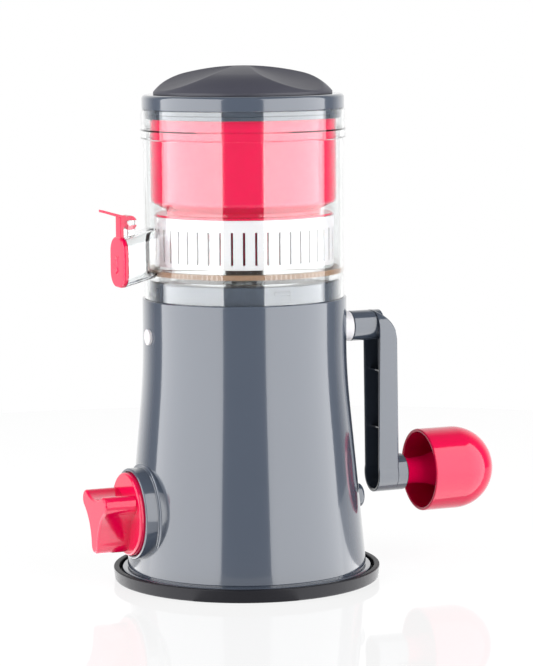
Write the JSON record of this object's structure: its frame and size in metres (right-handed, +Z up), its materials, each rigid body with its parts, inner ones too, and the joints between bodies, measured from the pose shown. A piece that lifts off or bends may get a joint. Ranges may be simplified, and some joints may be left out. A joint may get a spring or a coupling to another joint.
{
  "type": "hand-cranked juicer",
  "caption": "Hand-cranked slow juicer: crank and bevel gears turn an auger in a strainer inside a clear bowl with a capped spout, on a suction foot worked by a knob.",
  "frame": {"origin": "centre of the suction foot's lip, on the surface that the juicer stands on", "axes": "+Z up along the axis of the auger and bowl, +X along the crank axle towards the crank, so the spout and the suction knob are on the -X side"},
  "size_m": [0.2628, 0.1616, 0.3093],
  "materials": {
    "grey_gloss": "gloss",
    "grey_matte": "matte",
    "red_gloss": "gloss",
    "clear": "clear",
    "white_plastic": "satin",
    "black_rubber": "satin",
    "tan_silicone": "satin",
    "steel": "brushed"
  },
  "bodies": {
    "base": {"suction_cup": "black_rubber", "base_plate": "grey_matte", "base_screws": "steel", "housing": "grey_gloss", "axle_bush": "white_plastic", "deck_bush": "white_plastic"},
    "yoke": {"lift_yoke": "white_plastic"},
    "suction_drive": {"suction_cam": "white_plastic", "cam_pin": "steel", "suction_shaft": "steel", "suction_knob": "red_gloss", "knob_screw": "steel", "knob_cap": "grey_matte", "shaft_end_cap": "grey_gloss"},
    "crank": {"crank_axle": "white_plastic", "bevel_pinion": "white_plastic", "pinion_pin": "steel", "crank_arm": "grey_gloss", "crank_screw": "steel", "grip_axle": "steel", "grip_washer": "steel"},
    "grip": {"crank_knob": "red_gloss"},
    "auger_drive": {"bevel_wheel": "white_plastic", "drive_shaft": "steel", "shaft_clip": "steel", "thrust_ring": "white_plastic", "auger": "red_gloss"},
    "bowl_group": {"bowl": "clear", "bowl_gasket": "tan_silicone", "shaft_seal": "tan_silicone", "strainer": "white_plastic", "hopper": "red_gloss"},
    "cap": {"spout_cap": "red_gloss"},
    "lid": {"lid_ring": "grey_gloss", "lid_dome": "grey_matte"}
  },
  "joints": [
    {"name": "crank_turn", "type": "hinge", "parent": "base", "child": "crank", "pos_m": [0, 0, 0.1494], "axis": [1, 0, 0], "continuous": true},
    {"name": "auger_turn", "type": "hinge", "parent": "base", "child": "auger_drive", "pos_m": [0, 0, 0.16], "axis": [0, 0, 1], "continuous": true},
    {"name": "grip_spin", "type": "hinge", "parent": "crank", "child": "grip", "pos_m": [0.12, 0, 0.0568], "axis": [1, 0, 0], "continuous": true},
    {"name": "suction_turn", "type": "hinge", "parent": "base", "child": "suction_drive", "pos_m": [0, 0, 0.044], "axis": [1, 0, 0], "range_deg": [0, 90]},
    {"name": "yoke_lift", "type": "slide", "parent": "base", "child": "yoke", "axis": [0, 0, 1], "range_m": [0, 0.004], "deforming": ["suction_cup"]},
    {"name": "bowl_twist", "type": "hinge", "parent": "base", "child": "bowl_group", "pos_m": [0, 0, 0.18], "axis": [0, 0, 1], "range_deg": [0, 20]},
    {"name": "cap_flip", "type": "hinge", "parent": "bowl_group", "child": "cap", "pos_m": [-0.074, 0, 0.2183], "axis": [0, 1, 0], "range_deg": [0, 95]},
    {"name": "lid_lift", "type": "slide", "parent": "bowl_group", "child": "lid", "axis": [0, 0, 1], "range_m": [0, 0.09]}
  ],
  "couplings": [
    {"joint": "auger_turn", "follows": "crank_turn", "ratio": -0.5},
    {"joint": "yoke_lift", "follows": "suction_turn", "m_per_rad": 0.0025465}
  ]
}
